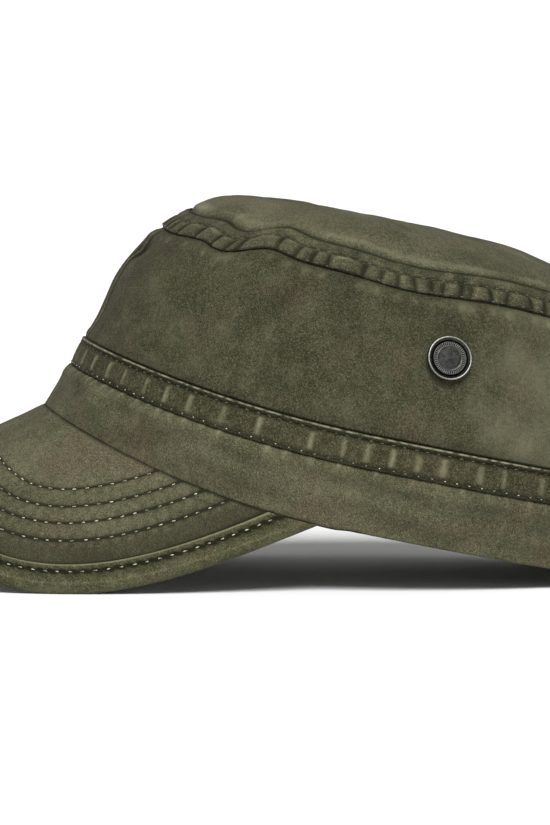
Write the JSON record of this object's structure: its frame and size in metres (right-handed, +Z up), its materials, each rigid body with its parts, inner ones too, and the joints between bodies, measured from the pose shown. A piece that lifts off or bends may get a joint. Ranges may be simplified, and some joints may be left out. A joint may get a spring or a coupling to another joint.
{
  "type": "field cap",
  "caption": "Soft washed-cotton field cap with a flat oval top, puckered band tape, short stitched visor with a bound edge and a metal tack button on the side.",
  "frame": {"origin": "on the surface that the cap rests on, under the middle of its box", "axes": "+Z up, -Y towards the visor, +X towards the wearer's left"},
  "size_m": [0.168, 0.2528, 0.1217],
  "materials": {
    "washed_cloth": "washed, matt, mottled",
    "tape_cloth": "washed, matt, darker, puckered",
    "binding_cloth": "washed, matt, worn lighter",
    "dark_metal": "antique dark, worn bright at the lip",
    "face_metal": "antique dark, fine grained"
  },
  "bodies": {
    "root": {"crown_top": "washed_cloth", "side_panel_left": "washed_cloth", "side_panel_right": "washed_cloth", "top_seam_tape": "tape_cloth", "band_tape": "tape_cloth", "lower_band": "washed_cloth", "visor_upper": "washed_cloth", "visor_under": "washed_cloth", "visor_binding": "binding_cloth", "button_cap": "dark_metal", "button_face": "face_metal", "button_tack": "dark_metal"}
  },
  "joints": []
}
